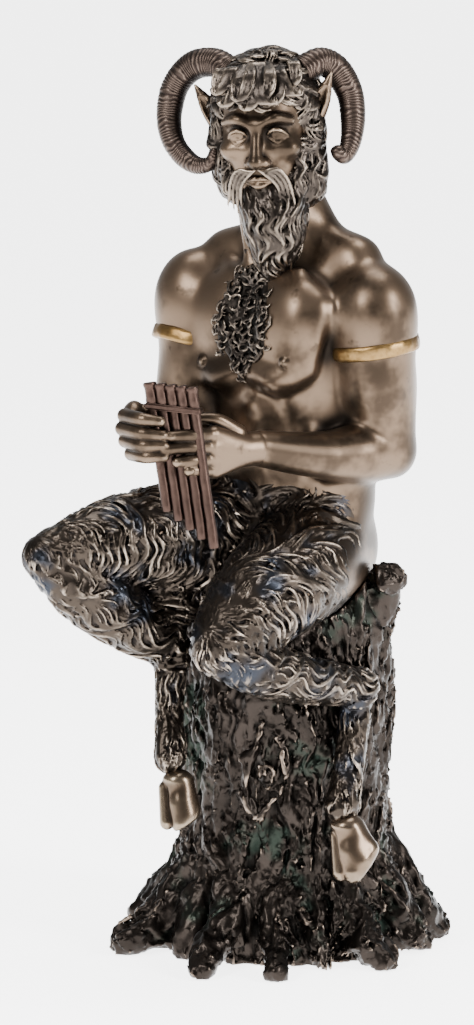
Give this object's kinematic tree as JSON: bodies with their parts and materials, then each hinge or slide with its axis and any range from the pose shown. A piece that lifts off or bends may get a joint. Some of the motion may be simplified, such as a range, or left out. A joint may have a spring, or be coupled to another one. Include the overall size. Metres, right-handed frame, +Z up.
{
  "type": "pan statue",
  "caption": "Seated goat-legged Pan with curled horns and beard, holding pan pipes, on a tree stump with spreading roots; a tabletop figurine in cast bronze finish.",
  "frame": {"origin": "middle of the stump's flat underside", "axes": "+Z up, -Y towards the front that the figure faces, +X towards the figure's left"},
  "size_m": [0.1151, 0.1024, 0.2457],
  "materials": {
    "bronze": "cold-cast bronze, rubbed to a satin sheen with dark brown in the hollows",
    "bark_bronze": "cold-cast bronze, brown-black with rubbed edges and a little green",
    "copper_bronze": "cold-cast bronze with a satin copper-brown wash",
    "gilt": "brushed-on gilt paint, slightly rough"
  },
  "bodies": {
    "root": {"pan_figure": "bronze", "tree_stump": "bark_bronze", "pan_pipes": "copper_bronze", "armband_left": "gilt", "armband_right": "gilt"}
  },
  "joints": []
}
